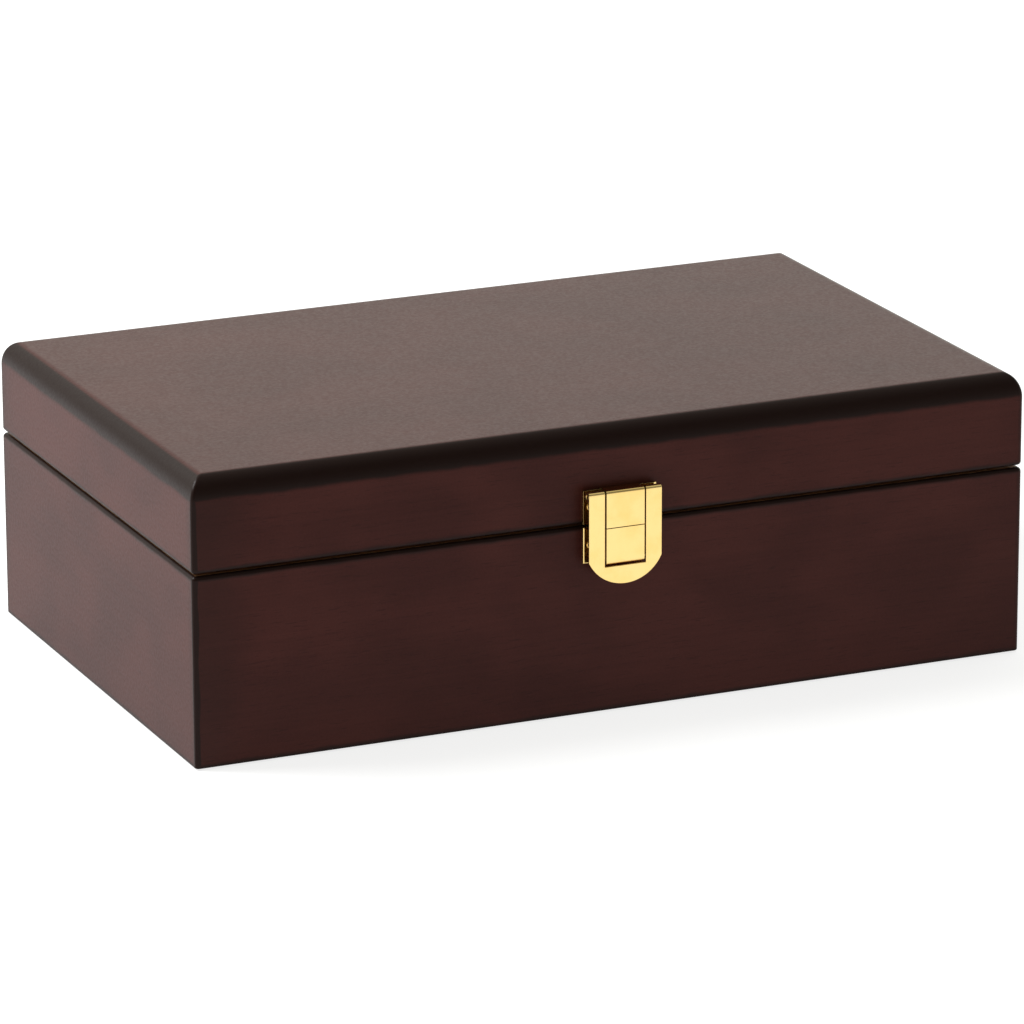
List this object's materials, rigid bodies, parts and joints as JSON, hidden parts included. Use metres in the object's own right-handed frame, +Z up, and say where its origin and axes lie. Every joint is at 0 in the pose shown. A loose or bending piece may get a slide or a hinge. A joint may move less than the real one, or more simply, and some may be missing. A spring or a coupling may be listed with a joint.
{
  "type": "watch box",
  "caption": "Rectangular wooden watch box with a round-edged hinged lid, a gold flip latch on the front and a lined, divided tray of removable watch pillows.",
  "frame": {"origin": "centre of the underside, on the surface that the box stands on", "axes": "+X along the width, to the right as seen from the front; -Y towards the front with the latch; +Z up"},
  "size_m": [0.32, 0.2074, 0.105],
  "materials": {
    "mahogany": "dark mahogany with fine level grain under satin lacquer, toned almost black at the edges",
    "base_felt": "thin dark brown felt",
    "foam": "pale open-cell foam",
    "velour": "short-pile beige velour",
    "suede": "soft cream microsuede over foam",
    "gold": "polished gold plate",
    "brass": "brushed brass"
  },
  "bodies": {
    "box": {"front_panel": "mahogany", "back_panel": "mahogany", "left_panel": "mahogany", "right_panel": "mahogany", "bottom_panel": "mahogany", "base_felt": "base_felt", "foam_underlay": "foam", "floor_pad": "velour", "lining_front": "velour", "lining_back": "velour", "lining_left": "velour", "lining_right": "velour", "long_divider": "velour", "cross_divider_1": "velour", "cross_divider_2": "velour", "cross_divider_3": "velour", "cross_divider_4": "velour", "latch_box_plate": "gold", "latch_box_screw_left": "brass", "latch_box_screw_right": "brass", "hinge_left_box_leaf": "brass", "hinge_right_box_leaf": "brass", "hinge_left_pin": "brass", "hinge_right_pin": "brass", "hinge_left_box_screw_1": "brass", "hinge_left_box_screw_2": "brass", "hinge_right_box_screw_1": "brass", "hinge_right_box_screw_2": "brass"},
    "lid": {"lid_top": "mahogany", "lid_front_rail": "mahogany", "lid_back_rail": "mahogany", "lid_left_rail": "mahogany", "lid_right_rail": "mahogany", "lid_lining_front": "velour", "lid_lining_back": "velour", "lid_lining_left": "velour", "lid_lining_right": "velour", "lid_pad": "suede", "latch_lid_plate": "gold", "latch_pin": "gold", "latch_lid_screw_left": "brass", "latch_lid_screw_right": "brass", "hinge_left_lid_leaf": "brass", "hinge_right_lid_leaf": "brass", "hinge_left_lid_screw_1": "brass", "hinge_left_lid_screw_2": "brass", "hinge_right_lid_screw_1": "brass", "hinge_right_lid_screw_2": "brass"},
    "latch_flap": {"latch_flap": "gold"},
    "pillow_front_1": {"pillow_front_1": "suede"},
    "pillow_front_2": {"pillow_front_2": "suede"},
    "pillow_front_3": {"pillow_front_3": "suede"},
    "pillow_front_4": {"pillow_front_4": "suede"},
    "pillow_front_5": {"pillow_front_5": "suede"},
    "pillow_back_1": {"pillow_back_1": "suede"},
    "pillow_back_2": {"pillow_back_2": "suede"},
    "pillow_back_3": {"pillow_back_3": "suede"},
    "pillow_back_4": {"pillow_back_4": "suede"},
    "pillow_back_5": {"pillow_back_5": "suede"}
  },
  "joints": [
    {"name": "lid_hinge", "type": "hinge", "parent": "box", "child": "lid", "pos_m": [0, 0.09985, 0.0703], "axis": [-1, 0, 0], "range_deg": [0, 95]},
    {"name": "latch_flap_pivot", "type": "hinge", "parent": "lid", "child": "latch_flap", "pos_m": [0, -0.10145, 0.0815], "axis": [-1, 0, 0], "range_deg": [0, 105]},
    {"name": "pillow_front_1_lift", "type": "slide", "parent": "box", "child": "pillow_front_1", "axis": [0, 0, 1], "range_m": [0, 0.025]},
    {"name": "pillow_front_2_lift", "type": "slide", "parent": "box", "child": "pillow_front_2", "axis": [0, 0, 1], "range_m": [0, 0.025]},
    {"name": "pillow_front_3_lift", "type": "slide", "parent": "box", "child": "pillow_front_3", "axis": [0, 0, 1], "range_m": [0, 0.025]},
    {"name": "pillow_front_4_lift", "type": "slide", "parent": "box", "child": "pillow_front_4", "axis": [0, 0, 1], "range_m": [0, 0.025]},
    {"name": "pillow_front_5_lift", "type": "slide", "parent": "box", "child": "pillow_front_5", "axis": [0, 0, 1], "range_m": [0, 0.025]},
    {"name": "pillow_back_1_lift", "type": "slide", "parent": "box", "child": "pillow_back_1", "axis": [0, 0, 1], "range_m": [0, 0.025]},
    {"name": "pillow_back_2_lift", "type": "slide", "parent": "box", "child": "pillow_back_2", "axis": [0, 0, 1], "range_m": [0, 0.025]},
    {"name": "pillow_back_3_lift", "type": "slide", "parent": "box", "child": "pillow_back_3", "axis": [0, 0, 1], "range_m": [0, 0.025]},
    {"name": "pillow_back_4_lift", "type": "slide", "parent": "box", "child": "pillow_back_4", "axis": [0, 0, 1], "range_m": [0, 0.025]},
    {"name": "pillow_back_5_lift", "type": "slide", "parent": "box", "child": "pillow_back_5", "axis": [0, 0, 1], "range_m": [0, 0.025]}
  ]
}
